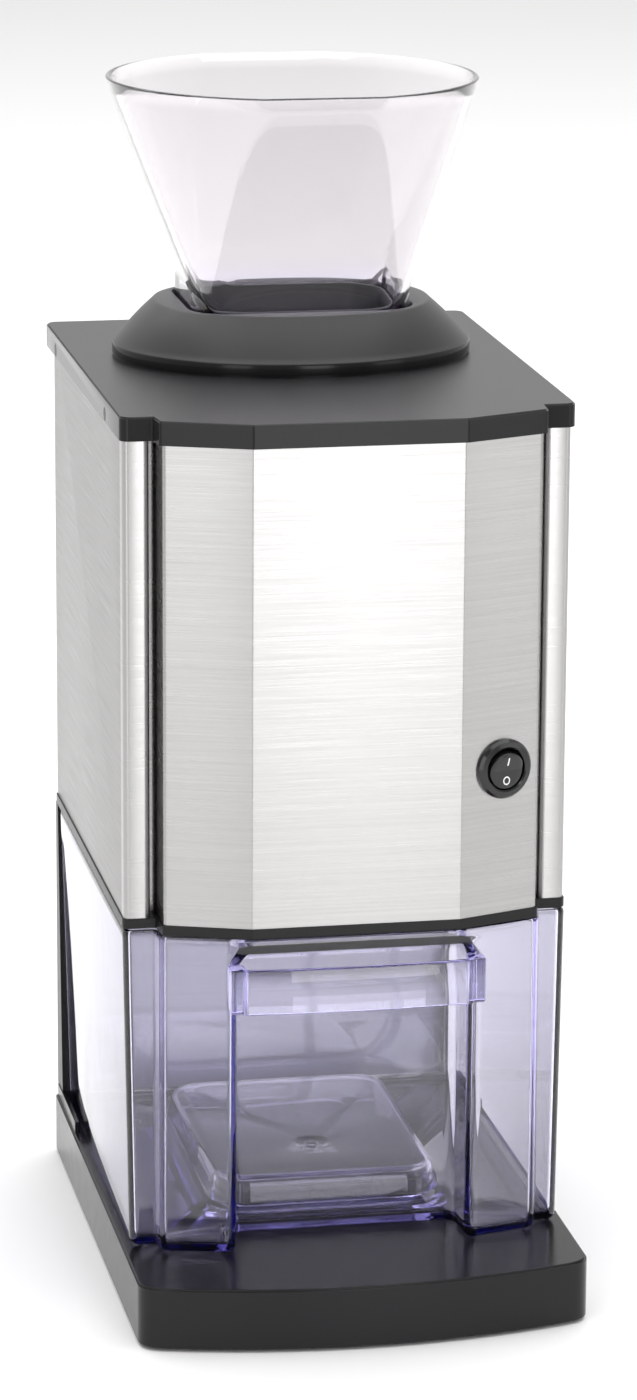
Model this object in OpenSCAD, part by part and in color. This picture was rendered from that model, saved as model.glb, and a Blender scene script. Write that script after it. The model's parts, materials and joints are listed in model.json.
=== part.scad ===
/* [Base] */
// Height of the top of the base plate above the table
base_h = 25.3; // [24:0.1:28]
// Width of the base plate
base_w = 175; // [174:1:180]
// Distance from the middle of the machine to the most forward point of the base plate
base_front = 130.2; // [126:0.2:134]
// How far the front edge of the base plate bows forward between its corners
base_bow = 10.5; // [8:0.5:13]

/* [Ice drawer] */
// Height of the drawer's top edge above the table
drawer_top = 152.4; // [150:0.1:152.4]
// Thickness of the drawer's clear walls
drawer_wall = 2.6; // [2:0.1:3.2]
// Half the width of the finger recess in the front of the drawer
recess_half = 43.2; // [40:0.2:44]
// Height of the raised middle of the drawer's floor above the table
plateau_top = 38.8; // [34:0.2:44]

/* [Housing] */
// Height of the underside of the black floor plate under the housing
floor_z = 152.9; // [152.9:0.1:153.5]
// Height of the bottom edge of the steel panels
steel_bottom = 156.8; // [156:0.1:158]
// Height of the lid's lower edge
lid_bottom = 342.4; // [340:0.2:345]
// Height of the lid's skirt
lid_h = 9.2; // [8.5:0.1:10]
// Half the width of the steel housing
steel_half = 85.8; // [85:0.1:86]
// Thickness of the steel sheet
sheet_t = 1; // [0.8:0.1:1.2]

/* [Hopper] */
// Height of the hopper's rim above the table
rim_z = 461.4; // [455:0.2:468]
// Half the width of the hopper's rim
rim_a = 73.1; // [70:0.1:76]
// Half the depth of the hopper's rim
rim_b = 69.4; // [66:0.1:72]
// Thickness of the hopper's clear wall
hopper_wall = 2.6; // [2:0.1:3]
// Distance of the hopper's centre line behind the middle of the machine
hopper_y = 49; // [47:0.5:51]

/* [Crusher drive] */
// Outer radius of the crusher blades
blade_r = 26; // [24:0.5:26.5]
// Teeth on the gear of the blade shaft
shaft_teeth = 44; // [40:1:46]
// Teeth on the small wheel of the idler gear
idler_small_teeth = 14; // [14:1:16]
// Teeth on the large wheel of the idler gear
idler_big_teeth = 40; // [36:1:42]
// Teeth on the motor's pinion
pinion_teeth = 12; // [12:1:14]

/* [Hidden] */

// A whisker that lets a cut run past the face it starts from
over = 0.5;
// Segments in one rounded corner of an outline
arc_steps = 6;

// Base plate and the feet under it
foot_gap = 1.5;                  // gap under the base plate's edge
base_back = 117.6;
base_corner_x = 78;              // where the bowed front edge meets the corner
base_skin = 3;
base_edge = 0.8;                 // width and height of the step round the top edge
base_rear_rim = 5;               // height of the raised rim along the sides near the back
base_rear_rim_t = 1.8;           // thickness of that rim at the sides
foot_x = 68;
foot_y = 92;
foot_r = 9;
foot_h = 6;
foot_screw_r = 1.6;

// Column and steel panel behind the drawer
column_gap = 1.6;                // gap between the drawer's rear wall and the column
column_back = 114.8;
column_half = 86.3;
column_post = 9;                 // width of each upright
column_bar = 7;                  // height of the bar that joins the uprights
steel_back = 115;
back_y = 116;                    // outer face of the back panel
back_half = 84.6;
back_screw_x = 81.5;
back_screw_r = 1.25;
back_flange_in = 78;             // inner edge of the side panels' rear flanges

// Drawer's rear wall: its place at the bottom, and how much further back its top is
drawer_back = 99;
drawer_lean = 9;

// Drawer outline: half width at the bottom, then the corner posts and the slanted faces
drawer_half = 84.4;
drawer_spread = 2;               // how much further out the top of each side is
drawer_post = -73.6;
drawer_post_in = 75;
drawer_facet_out = 73.6;
drawer_facet_out_y = -81.2;
drawer_front = -89.8;
recess_back = -66.8;
recess_top = 145;
recess_corner = 9;
plateau_y = 22;                  // middle, half width and half depth of the raised floor
plateau_half = 43;
plateau_deep = 59;
handle_bottom = 125;
handle_h = 17.5;
handle_half = 44.3;              // half the width of the bar between its two returns
handle_end = 49.5;               // half the width over the returns
handle_front = -99;              // front of the bar's ends, before its bow
handle_back = -89.2;
handle_t = 3;

// Housing outline, given as half the width and the front of each face
post_front = -70;                // flat strips at the front corners
post_in = 75.6;                  // inner edge of each strip
facet_out = 72.3;                // outer edge of the slanted front faces
facet_out_y = -80.6;
facet_in = 40.2;                 // edge between slanted and middle front face
front_y = -91.7;
fold_y = -61.5;                  // inner flange that closes the slot beside each strip
panel_top = lid_bottom + 6;
floor_lip = 0.6;                 // how far the floor plate stands proud of the steel

// Lid
lid_top = lid_bottom + lid_h;
lid_half = 87;
lid_back = 130.2;
lid_post = -73.1;                // front of the strips either side of the slanted faces
lid_facet_out = 73.2;
lid_facet_out_y = -82.2;
lid_facet_in = 40.6;
lid_front = -94.8;
lid_skin = 2.5;
lid_rim = 1.1;                   // thickness of the skirt
lid_edge = 0.6;                  // width and height of the step round the top edge
lid_screw_z = lid_bottom + 3;
lid_screw_ys = [100, -34];

// Hopper foot, the collar round it and the way down to the blades
foot_a = 43.4;
foot_b = 34;
foot_corner = 15;
throat_x = 80;
throat_y = 58;
collar_a = 71.2;                 // half width and half depth at the lid
collar_b = 57;
collar_skirt = 5.2;
collar_top = lid_top + 17.6;
ledge_top = lid_top + 2.4;
hopper_bottom = ledge_top + 0.3;
neck_z = 381;
spigot_gap = 0.5;                // gap between the hopper's foot and the spigot inside it
spigot_top = 373.6;
spigot_corner = 19;
spigot_t = 1.6;
spigot_a = foot_a - hopper_wall - spigot_gap;
spigot_b = foot_b - hopper_wall - spigot_gap;

// Crusher: the blade shaft runs from left to right under the throat
shaft_z = 285;
shaft_r = 6;
chamber_wall = 3;
chamber_bottom = 236;
chamber_flange = 5;
bush_r = 10;
blade_xs = [for (i = [-2:2]) 15 * i];
blade_t = 3;
spacer_r = 9.5;
comb_half = 36;
comb_bar = 3.6;

// Gear train, on the right of the crusher
shaft_module = 2;
motor_module = 1.5;
pressure_angle = 25;
tooth_slack = 0.32;
shaft_pair = shaft_module * (shaft_teeth + idler_small_teeth) / 2;
motor_pair = motor_module * (idler_big_teeth + pinion_teeth) / 2;
shaft_pair_turn = 210;           // direction from the shaft to the idler
motor_pair_turn = 230;           // direction from the idler to the motor
idler_yz = [hopper_y, shaft_z] + shaft_pair * [cos(shaft_pair_turn), sin(shaft_pair_turn)];
motor_yz = idler_yz + motor_pair * [cos(motor_pair_turn), sin(motor_pair_turn)];
plate_x = 48.3;
plate_t = 2.5;
plate_screw_r = 1.6;
plate_screw_in = 7;              // how far its screws reach in past the gear plate's face
motor_screw = 18;                // distance of the motor's two screws from its axis
pin_r = 4;
press = 0.02;                    // gap of a fit that stays put
running = 0.05;                  // gap of a fit that turns

// Motor
can_r = 32;
can_x = [-46, 44];
can_wall = 1.6;
cap_t = 4.25;
armature_r = 20.6;
motor_shaft_r = 3;

// Rocker switch on the right slanted front face
switch_hole_r = 10;
switch_bore_r = 8.2;             // inside of the bezel
rocker_r = 7.3;
rocker_crest = 1.6;              // height of the rocker's fold above the steel
rocker_pin_r = 1.2;
rocker_pin_reach = 9.2;
switch_z = 214;
facet_turn = atan2(facet_out_y - front_y, facet_out - facet_in);
switch_at = [57.6, front_y + (57.6 - facet_in) * tan(facet_turn), switch_z];
rocker_rest = 10;                // tilt of the rocker either side of the middle

// Interlock above the drawer's rear edge
interlock_at = [60, 106.2];

// Cord entry
gland_at = [-60, 176];
gland_bore_r = 3.8;

function unit(v) = v / norm(v);
function reversed(p) = [for (i = [len(p) - 1:-1:0]) p[i]];
function flat(p) = [p.x, p.y];

// Arc that rounds the corner p between its neighbours a and b
function corner_arc(a, p, b, r) =
    let (u = unit(a - p), w = unit(b - p), half = acos(u * w) / 2,
         middle = p + unit(u + w) * (r / sin(half)),
         first = p + u * (r / tan(half)) - middle,
         last = p + w * (r / tan(half)) - middle,
         start = atan2(first.y, first.x),
         raw = atan2(last.y, last.x) - start,
         sweep = raw > 180 ? raw - 360 : raw < -180 ? raw + 360 : raw)
    [for (i = [0:arc_steps]) middle + r * [cos(start + sweep * i / arc_steps),
                                           sin(start + sweep * i / arc_steps)]];

// Closed outline from corners given as [x, y, radius]
function rounded(c) =
    let (n = len(c))
    [for (i = [0:n - 1]) each c[i].z == 0 ? [flat(c[i])]
        : corner_arc(flat(c[(i + n - 1) % n]), flat(c[i]), flat(c[(i + 1) % n]), c[i].z)];

// The right half of an outline, from the back to the front, joined to its mirror image
function both_sides(half) = concat(half, [for (c = reversed(half)) [-c.x, c.y, c.z]]);

// A path moved sideways by t, to its left
function left_normal(a, b) = let (u = unit(b - a)) [-u.y, u.x];
function shifted(p, t) =
    [for (i = [0:len(p) - 1])
        let (before = left_normal(p[max(i - 1, 0)], p[max(i, 1)]),
             after = left_normal(p[min(i, len(p) - 2)], p[min(i + 1, len(p) - 1)]))
        p[i] + (before + after) * t / (1 + before * after)];

// An open path with its bends rounded, for a face that lies t to the left of the path
function bent(p, r, t, q) =
    [for (i = [0:len(p) - 1]) each i == 0 || i == len(p) - 1 ? [q[i]]
        : corner_arc(q[i - 1], q[i], q[i + 1],
                     r - sign(cross(p[i] - p[i - 1], p[i + 1] - p[i])) * t)];

// Cross-section of a folded sheet whose outer face follows the path
module folded_sheet(p, r, t) {
    polygon(concat(bent(p, r, 0, p), reversed(bent(p, r, t, shifted(p, t)))));
}

// Solid skinned over rings of equal length, lowest ring first, each turning clockwise
module loft(rings) {
    n = len(rings[0]);
    m = len(rings);
    polyhedron(
        points = [for (ring = rings) each ring],
        faces = concat(
            [[for (i = [0:n - 1]) n - 1 - i]],
            [for (k = [0:m - 2], i = [0:n - 1])
                [k * n + i, k * n + (i + 1) % n, (k + 1) * n + (i + 1) % n, (k + 1) * n + i]],
            [[for (i = [0:n - 1]) (m - 1) * n + i]]));
}
function at_height(outline, z) = [for (p = outline) [p.x, p.y, z]];

// Oval with straight stretches of half-length fx and fy in the middle of its sides
function oval(a, b, fx, fy, steps = 10) =
    [for (q = [0:3], i = [0:steps])
        let (turn = -90 * q - 90 * i / steps,
             sx = q == 0 || q == 3 ? 1 : -1,
             sy = q < 2 ? -1 : 1)
        [sx * fx + (a - fx) * cos(turn), sy * fy + (b - fy) * sin(turn)]];

module at_hopper(z = 0) {
    translate([0, hopper_y, z]) children();
}
module rounded_block(x, y, r, h) {
    linear_extrude(h) polygon(rounded([[x, y, r], [x, -y, r], [-x, -y, r], [-x, y, r]]));
}
module along_x(yz, x) {
    translate([x, yz.x, yz.y]) rotate([0, 90, 0]) children();
}
module on_switch_face() {
    translate(switch_at) rotate([0, 0, facet_turn]) rotate([90, 0, 0]) children();
}
module four(x, y) {
    for (sx = [-1, 1], sy = [-1, 1]) translate([sx * x, sy * y, 0]) children();
}

// ---- base ----
function base_outline(inset) =
    let (radius = (base_corner_x ^ 2 + base_bow ^ 2) / (2 * base_bow),
         reach = asin(base_corner_x / radius),
         steps = 16,
         half = base_w / 2 - inset,
         front = [for (i = [0:steps]) let (turn = reach - 2 * reach * i / steps)
                     [(radius - inset) * sin(turn),
                      -(base_front - radius) - (radius - inset) * cos(turn)]])
    concat(
        corner_arc([0, base_back - inset], [half, base_back - inset], [half, 0], 5),
        corner_arc([half, 0], [half, front[0].y + 3.2], front[0], 9),
        front,
        corner_arc(front[steps], [-half, front[0].y + 3.2], [-half, 0], 9),
        corner_arc([-half, 0], [-half, base_back - inset], [0, base_back - inset], 5));

module base_plate() {
    color("#1d1d1f") difference() {
        union() {
            translate([0, 0, foot_gap]) linear_extrude(base_h - foot_gap - base_edge)
                polygon(base_outline(0));
            translate([0, 0, base_h - base_edge - over]) linear_extrude(base_edge + over)
                polygon(base_outline(base_edge));
            // raised rim along each side near the back, which locates the column
            translate([0, 0, base_h - over]) linear_extrude(base_rear_rim + over) difference() {
                polygon(base_outline(base_edge));
                translate([-base_w, -base_w]) square([2 * base_w, base_w + 62]);
                translate([-base_w / 2 + base_edge + base_rear_rim_t, 0])
                    square([base_w - 2 * (base_edge + base_rear_rim_t), base_back]);
            }
        }
        difference() {
            translate([0, 0, -over]) linear_extrude(base_h - base_skin + over)
                polygon(base_outline(base_skin));
            four(foot_x, foot_y) cylinder(r = foot_r + 3, h = base_h, $fn = 48);
            for (x = [-36, 0, 36]) translate([x - 1, -base_front, foot_gap + 4])
                cube([2, 2 * base_front, base_h]);
        }
        // pocket for each foot, and the screw hole above it
        four(foot_x, foot_y) {
            translate([0, 0, -over]) cylinder(r = foot_r + 0.1, h = foot_h - 1 + over, $fn = 48);
            cylinder(r = foot_screw_r + 0.1, h = 16, $fn = 24);
        }
    }
}

module rubber_feet() {
    color("#2b2b2b") four(foot_x, foot_y) rotate_extrude($fn = 48)
        polygon([[1.8, 2.6], [4.2, 2.6], [4.2, 0], [foot_r - 1, 0], [foot_r, 1],
                 [foot_r, foot_h - 1.1], [1.8, foot_h - 1.1]]);
}

module feet_screws() {
    color("silver") four(foot_x, foot_y) {
        translate([0, 0, 0.9]) cylinder(r = 3.6, h = 1.6, $fn = 32);
        translate([0, 0, 2.4]) cylinder(r = foot_screw_r, h = 12, $fn = 24);
    }
}

// ---- column and back ----
// Two uprights whose front edges lean with the drawer's rear wall, and the bar that joins them
module rear_column() {
    color("#1d1d1f") difference() {
        translate([-column_half, 0, base_h]) rotate([90, 0, 90])
            linear_extrude(2 * column_half)
                polygon([[drawer_back + column_gap, 0], [column_back, 0],
                         [column_back, floor_z - base_h],
                         [drawer_back + drawer_lean + column_gap, floor_z - base_h]]);
        translate([-column_half + column_post, base_back - 30, base_h - over])
            cube([2 * (column_half - column_post), 60, floor_z - base_h - column_bar + over]);
        // notches that let its feet stand inside the base plate's rear rim
        for (side = [0, 1]) mirror([side, 0, 0])
            translate([base_w / 2 - base_edge - base_rear_rim_t - 0.1, 0, base_h - over])
                cube([10, base_back, base_rear_rim + over + 0.1]);
        back_screw_sites() cylinder(r = back_screw_r + running, h = 18, center = true, $fn = 24);
    }
}

// The back panel's screws: the lower ones hold it to the column
module back_screw_sites() {
    for (x = [-back_screw_x, back_screw_x], z = [36, 90, 146, 200, 260, 320])
        translate([x, back_y, z]) rotate([90, 0, 0]) children();
}

module back_panel() {
    color("#b8babd") difference() {
        translate([-back_half, back_y - sheet_t, base_h + running])
            cube([2 * back_half, sheet_t, panel_top - base_h - running]);
        // cooling slots
        for (row = [0:6], side = [-1, 1])
            translate([side * 36 - 20, back_y - 3, 190 + 9 * row]) cube([40, 6, 3]);
        translate([gland_at.x, back_y, gland_at.y]) rotate([90, 0, 0])
            cylinder(r = 7.1, h = 10, center = true, $fn = 48);
        back_screw_sites() cylinder(r = back_screw_r + 0.35, h = 10, center = true, $fn = 24);
    }
}

module back_screws() {
    color("silver") back_screw_sites() {
        translate([0, 0, -1.8]) cylinder(r1 = 2, r2 = 3, h = 1.8, $fn = 32);
        translate([0, 0, -0.2]) cylinder(r = back_screw_r, h = 4.6, $fn = 24);
    }
}

module cord_gland() {
    color("#222222") translate([gland_at.x, back_y, gland_at.y]) rotate([-90, 0, 0])
        rotate_extrude($fn = 64)
            polygon([[gland_bore_r, -11], [7, -11], [7, 0.05], [10, 0.05], [10, 3],
                     [7.6, 4.5], [6.2, 9], [gland_bore_r, 9]]);
}

// ---- steel housing ----
// Path of the right side panel, from its rear flange to the fold behind the front strip
side_path = [[back_flange_in, steel_back], [steel_half, steel_back], [steel_half, post_front],
             [post_in, post_front], [post_in, fold_y - running]];

module side_panel() {
    color("#c9cbce") difference() {
        translate([0, 0, steel_bottom]) linear_extrude(panel_top - steel_bottom)
            folded_sheet(side_path, 2.4, -sheet_t);
        for (y = lid_screw_ys) translate([steel_half - 3, y, lid_screw_z])
            rotate([0, 90, 0]) cylinder(r = 1.4, h = 8, $fn = 24);
        back_screw_sites() cylinder(r = back_screw_r + running, h = 8, center = true, $fn = 24);
    }
}
module right_side_panel() {
    side_panel();
}
module left_side_panel() {
    mirror([1, 0, 0]) side_panel();
}

// Path of the front panel: a flange behind each strip, the slot's side and the three faces
front_half = [[81, fold_y], [facet_out, fold_y], [facet_out, facet_out_y],
              [facet_in, front_y]];
front_path = concat(front_half, [for (p = reversed(front_half)) [-p.x, p.y]]);

module front_panel() {
    color("#d4d6d8") difference() {
        translate([0, 0, steel_bottom]) linear_extrude(panel_top - steel_bottom)
            folded_sheet(front_path, 1.8, -sheet_t);
        on_switch_face() translate([0, 0, -6]) cylinder(r = switch_hole_r + 0.1, h = 12, $fn = 64);
    }
}

// Outline of the parts that cap the housing, grown by lip beyond the steel
function cap_corners(half, back, post_y, facet_x, facet_y, mid_x, mid_y, r) =
    both_sides([[half, back, r], [half, post_y, r], [facet_x + 1.6, post_y, 0.8],
                [facet_x + 0.6, facet_y, 1.6], [mid_x, mid_y, 3]]);

module middle_trim() {
    color("#1a1a1b") difference() {
        translate([0, 0, floor_z]) linear_extrude(steel_bottom - floor_z)
            polygon(rounded(cap_corners(steel_half + floor_lip, steel_back, post_front - floor_lip,
                facet_out, facet_out_y - floor_lip, facet_in, front_y - floor_lip, 3)));
        at_hopper(floor_z - over)
            rounded_block(throat_x / 2, throat_y / 2, 2, 8);
        translate([interlock_at.x, interlock_at.y, floor_z - over]) cylinder(r = 2, h = 8, $fn = 32);
    }
}

// ---- lid ----
module lid_screw_sites() {
    for (side = [-1, 1], y = lid_screw_ys) translate([side * lid_half, y, lid_screw_z])
        rotate([0, side * 90, 0]) children();
}

module lid_outline(inset, r) {
    polygon(rounded(cap_corners(lid_half - inset, lid_back - inset, lid_post + inset,
        lid_facet_out - inset, lid_facet_out_y + inset, lid_facet_in - inset / 3,
        lid_front + inset, r)));
}

module top_lid() {
    color("#1b1b1c") difference() {
        union() {
            translate([0, 0, lid_bottom]) linear_extrude(lid_h - lid_edge) lid_outline(0, 4);
            translate([0, 0, lid_top - lid_edge - over]) linear_extrude(lid_edge + over)
                lid_outline(lid_edge, 4);
        }
        translate([0, 0, lid_bottom - over]) linear_extrude(lid_h - lid_skin + over)
            lid_outline(lid_rim, 3);
        at_hopper(lid_bottom) rounded_block(throat_x / 2, throat_y / 2, 2, 20);
        lid_screw_sites() {
            translate([0, 0, -5]) cylinder(r = 1.4, h = 10, $fn = 24);
            translate([0, 0, -0.7]) cylinder(r = 2.6, h = 5, $fn = 32);
        }
    }
}

module lid_screws() {
    color("#3a3a3c") lid_screw_sites() {
        translate([0, 0, -0.7]) cylinder(r = 2.4, h = 0.7, $fn = 32);
        translate([0, 0, -6]) cylinder(r = 1.25, h = 5.5, $fn = 24);
    }
}

// ---- collar and hopper ----
function collar_ring(a, b, z) = at_height(oval(a, b, a / 6, b / 6), z);

module hopper_collar() {
    color("#202021") at_hopper() difference() {
        union() {
            difference() {
                loft([collar_ring(collar_a, collar_b, lid_top),
                      collar_ring(collar_a, collar_b, lid_top + collar_skirt),
                      collar_ring(collar_a - 0.8, collar_b - 0.8, lid_top + collar_skirt + 1.2),
                      collar_ring(collar_a - 15, collar_b - 11.4, collar_top - 0.8),
                      collar_ring(collar_a - 16.8, collar_b - 13, collar_top)]);
                translate([0, 0, ledge_top])
                    rounded_block(foot_a + 1, foot_b + 1, foot_corner + 1, 30);
            }
            // spigot that the hopper's foot stands round
            translate([0, 0, ledge_top - over])
                rounded_block(spigot_a, spigot_b, spigot_corner, spigot_top - ledge_top + over);
        }
        translate([0, 0, lid_top - over])
            rounded_block(spigot_a - spigot_t, spigot_b - spigot_t, spigot_corner - spigot_t, 30);
    }
}

// Ring of the hopper at a share s of the way from its neck (0) to its rim (1), set in by t
function hopper_ring(s, t) =
    let (a = foot_a + (rim_a - foot_a) * s ^ 0.94 - t,
         b = foot_b + (rim_b - foot_b) * s ^ 0.94 - t,
         corner = foot_corner + (rim_b - 2 - foot_corner) * s - t)
    at_height(oval(a, b, a - corner > 2 ? a - corner : 2, b - corner > 2 ? b - corner : 2, 8),
              neck_z + (rim_z - neck_z) * s);
function foot_ring(z, t) = [for (p = hopper_ring(0, t)) [p.x, p.y, z]];

module hopper() {
    steps = 7;
    color("#e9e6f0", 0.5) at_hopper() difference() {
        loft(concat([foot_ring(hopper_bottom, 0)],
                    [for (i = [0:steps]) hopper_ring(i / steps, 0)]));
        loft(concat([foot_ring(hopper_bottom - over, hopper_wall)],
                    [for (i = [0:steps]) hopper_ring(i / steps, hopper_wall)],
                    [[for (p = hopper_ring(1, hopper_wall)) p + [0, 0, over]]]));
    }
}

// ---- drawer ----
// The drawer's outline at a share s of its height, set in by t: its sides lean outwards
function drawer_outline(s, t) =
    let (half = drawer_half + drawer_spread * s - t, back = drawer_back + drawer_lean * s - t,
         post = drawer_post + 1.6 * s + t)
    rounded(both_sides([[half, back, 8 - t], [half, post, 4 - t / 2],
                        [drawer_post_in - t, post, 1],
                        [drawer_facet_out - t, drawer_facet_out_y + t, 4 - t],
                        [facet_in - t / 4, drawer_front - 1.7 * s + t, 5]]));

// Finger recess in the drawer's front, grown by t
module drawer_recess(t) {
    top = recess_top + t;
    half = recess_half + t;
    translate([0, recess_back + t, 0]) rotate([90, 0, 0]) linear_extrude(60)
        polygon(rounded([[half, 0, 0], [half, top, recess_corner],
                         [-half, top, recess_corner], [-half, 0, 0]]));
}

// Raised middle of the drawer's floor, shrunk by t
module drawer_plateau(t, top) {
    translate([0, plateau_y, 0]) rounded_block(plateau_half - t, plateau_deep - t, 10 - t, top);
}

module ice_drawer() {
    bottom = base_h + 0.3;
    color("#b9b6d2", 0.6) difference() {
        loft([at_height(drawer_outline(0, 0), bottom), at_height(drawer_outline(1, 0), drawer_top)]);
        drawer_recess(0);
        drawer_plateau(drawer_wall, plateau_top - drawer_wall);
        difference() {
            loft([at_height(drawer_outline(0, drawer_wall), bottom + drawer_wall),
                  at_height(drawer_outline(1, drawer_wall), drawer_top + over)]);
            drawer_recess(drawer_wall);
            drawer_plateau(0, plateau_top);
        }
    }
}

// Bowed bar whose two ends turn back to the drawer's front, as one outline
module drawer_handle() {
    bow = 2;
    steps = 8;
    inner_half = handle_half - 1.2;
    function bowed(half, y, i) =
        let (x = half * (1 - 2 * i / steps)) [x, y - bow * (1 - (x / half) ^ 2)];
    color("#c4c2dc", 0.7) translate([0, 0, handle_bottom]) linear_extrude(handle_h) polygon(concat(
        [[inner_half, handle_back], [handle_end, handle_back], [handle_end, handle_front + 0.6]],
        [for (i = [0:steps]) bowed(handle_half, handle_front, i)],
        [[-handle_end, handle_front + 0.6], [-handle_end, handle_back],
         [-inner_half, handle_back]],
        [for (i = [steps:-1:0]) bowed(inner_half, handle_front + handle_t, i)]));
}

// ---- rocker switch ----
module rocker_pin(r, reach) {
    rotate([0, 90, 0]) cylinder(r = r, h = 2 * reach, center = true, $fn = 32);
}
module switch_bezel() {
    color("#151515") on_switch_face() difference() {
        rotate_extrude($fn = 64)
            polygon([[switch_bore_r, 2.2], [8.8, 2.6], [10.6, 2.3], [11.6, 1.2],
                     [11.6, press], [switch_hole_r - running, press],
                     [switch_hole_r - running, -7], [switch_bore_r, -7]]);
        rocker_pin(rocker_pin_r + 0.1, rocker_pin_reach + 0.1);
    }
}
module switch_body() {
    color("#1b1b1b") on_switch_face() difference() {
        translate([0, 0, -18]) cylinder(r = 9.5, h = 10.9, $fn = 64);
        translate([-7.6, -5, -10]) cube([15.2, 10, 4]);
    }
}
module switch_terminals() {
    color("gold") on_switch_face() for (y = [-5, 5]) translate([-3.1, y - 0.4, -24.5])
        cube([6.2, 0.8, 6.4]);
}

// Two faces that meet at a shallow angle over the pivot; the lower one is pressed in
module switch_rocker() {
    rise = rocker_crest + rocker_r * tan(rocker_rest);
    color("#181818") on_switch_face() rotate([rocker_rest, 0, 0]) {
        intersection() {
            translate([0, 0, -8]) cylinder(r = rocker_r, h = 20, $fn = 64);
            rotate([90, 0, 90]) translate([0, 0, -10]) linear_extrude(20)
                polygon([[-rocker_r, rise], [0, rocker_crest], [rocker_r, rise],
                         [rocker_r, -3.2], [0, -5.6], [-rocker_r, -3.2]]);
        }
        rocker_pin(rocker_pin_r, rocker_pin_reach);
    }
}

// ---- crusher ----
module crusher_housing() {
    outer_x = throat_x / 2 + chamber_wall;
    outer_y = throat_y / 2 + chamber_wall;
    color("#9fa3a7") difference() {
        union() {
            at_hopper(chamber_bottom)
                rounded_block(outer_x, outer_y, 4, lid_top - lid_skin - chamber_bottom);
            at_hopper(chamber_bottom)
                rounded_block(outer_x + chamber_flange, outer_y + chamber_flange, 4, 3);
            for (p = plate_screws) along_x(p, outer_x - 1)
                cylinder(r = 5, h = plate_x - outer_x + 1, $fn = 40);
        }
        at_hopper(chamber_bottom - over) rounded_block(throat_x / 2, throat_y / 2, 2, 200);
        along_x([hopper_y, shaft_z], -60) cylinder(r = bush_r, h = 120, $fn = 64);
        for (p = plate_screws) along_x(p, outer_x + over)
            cylinder(r = plate_screw_r + 0.1, h = 20, $fn = 24);
    }
}

module ice_chute() {
    outer_x = throat_x / 2 + chamber_wall;
    outer_y = throat_y / 2 + chamber_wall;
    tall = chamber_bottom - steel_bottom;
    color("#e4e4e0") at_hopper(steel_bottom) difference() {
        union() {
            rounded_block(outer_x, outer_y, 4, tall);
            for (z = [0, tall - 2.5]) translate([0, 0, z])
                rounded_block(outer_x + chamber_flange, outer_y + chamber_flange, 4, 2.5);
        }
        translate([0, 0, -over]) rounded_block(throat_x / 2, throat_y / 2, 2, 200);
    }
}

// Plain bush with a running fit on the blade shaft
module bush(x, length) {
    along_x([hopper_y, shaft_z], x) difference() {
        cylinder(r = bush_r - press, h = length, $fn = 64);
        translate([0, 0, -over]) cylinder(r = shaft_r + running, h = length + 1, $fn = 64);
    }
}
module shaft_bushes() {
    color("#b08d57") {
        bush(-49, 8.8);
        bush(40.2, 11.4);
    }
}

module blade_shaft() {
    color("silver") along_x([hopper_y, shaft_z], -52) cylinder(r = shaft_r, h = 126, $fn = 64);
}

// Blade with hooked teeth
module blade(turn) {
    teeth = 4;
    difference() {
        linear_extrude(blade_t) rotate(turn)
            polygon([for (k = [0:teeth - 1], p = [[11.5, 0], [blade_r - 2, 14], [blade_r, 24],
                                                  [blade_r - 7, 34], [12.5, 58]])
                p[0] * [cos(p[1] + 360 * k / teeth), sin(p[1] + 360 * k / teeth)]]);
        translate([0, 0, -over]) cylinder(r = shaft_r + press, h = blade_t + 1, $fn = 64);
    }
}
module crusher_blades() {
    color("#c0c4c8") for (i = [0:len(blade_xs) - 1])
        along_x([hopper_y, shaft_z], blade_xs[i] - blade_t / 2) blade(18 * i);
}

module blade_spacers() {
    gap = blade_xs[1] - blade_xs[0] - blade_t - 0.1;
    color("#8d9196") for (i = [0:len(blade_xs) - 2])
        along_x([hopper_y, shaft_z], blade_xs[i] + blade_t / 2 + 0.05) difference() {
            cylinder(r = spacer_r, h = gap, $fn = 48);
            translate([0, 0, -over]) cylinder(r = shaft_r + press, h = gap + 1, $fn = 64);
        }
}

// Fixed bars that the blades pass between, standing in from one wall of the crusher
module comb() {
    wall = throat_y / 2 - running;
    pitch = blade_xs[1] - blade_xs[0];
    between = [for (i = [0:3]) blade_xs[i] + pitch / 2];
    translate([-comb_half, -wall, shaft_z - 4]) cube([2 * comb_half, 2, 8]);
    for (x = concat([-comb_half], between, [comb_half]))
        translate([x - comb_bar / 2, -wall, shaft_z - 3])
            cube([comb_bar, wall - spacer_r - 1.5, 6]);
}
module front_comb() {
    color("#a7abb0") at_hopper() comb();
}
module rear_comb() {
    color("#a7abb0") at_hopper() mirror([0, 1, 0]) comb();
}

// ---- gears ----
// Involute flank: distance from the centre and turn away from the tooth's middle line
function involute(a) = tan(a) * 180 / PI - a;
function tooth_half(r, rp, teeth, slack) =
    let (base = rp * cos(pressure_angle), a = r > base ? acos(base / r) : 0)
    90 / teeth - slack / 2 / rp * 90 / PI + involute(pressure_angle) - involute(a);

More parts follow.
